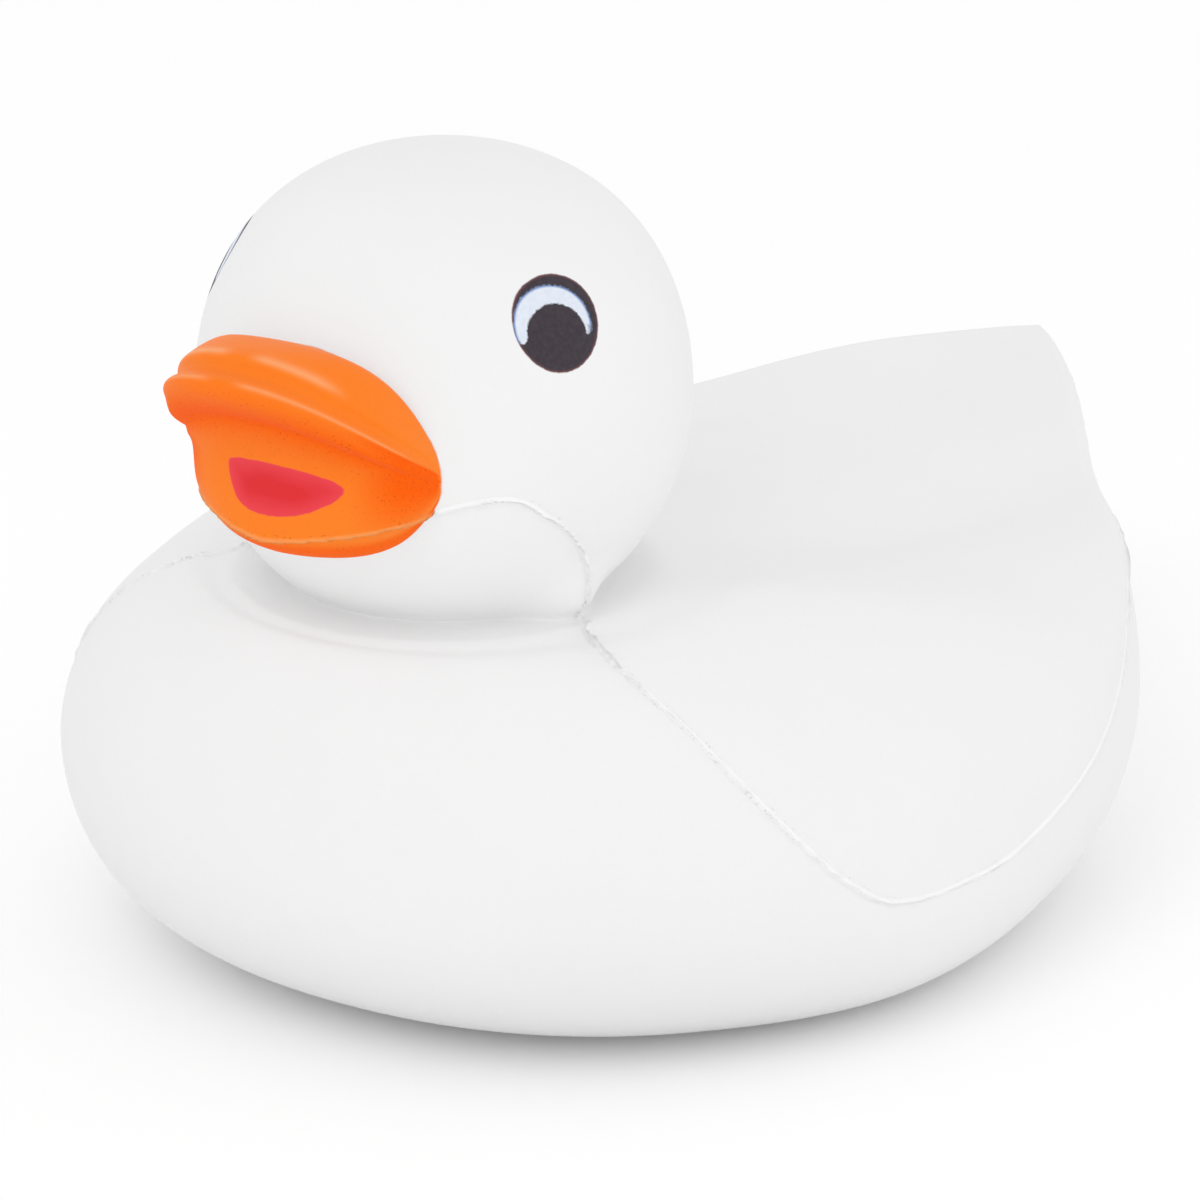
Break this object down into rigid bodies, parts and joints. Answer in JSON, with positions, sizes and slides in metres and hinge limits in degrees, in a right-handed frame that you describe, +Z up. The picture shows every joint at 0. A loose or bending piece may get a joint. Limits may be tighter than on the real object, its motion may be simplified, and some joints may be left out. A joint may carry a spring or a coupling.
{
  "type": "duck stress toy",
  "caption": "Squeezable foam duck for the hand or desk, moulded in one piece: tub-shaped body with a flat underside, raised tail, ball head and open bill",
  "frame": {"origin": "middle of the box that the duck fills, on the surface that it stands on", "axes": "+Z is up, the duck faces -Y with its tail to +Y, and +X is the duck's own left side; X = 0 is its plane of symmetry"},
  "size_m": [0.0648, 0.0942, 0.0542],
  "materials": {
    "white_foam": "matt skin of moulded white polyurethane foam, bill painted orange, mouth patch red, eyes printed black and white"
  },
  "bodies": {
    "root": {"foam_duck": "white_foam"}
  },
  "joints": []
}
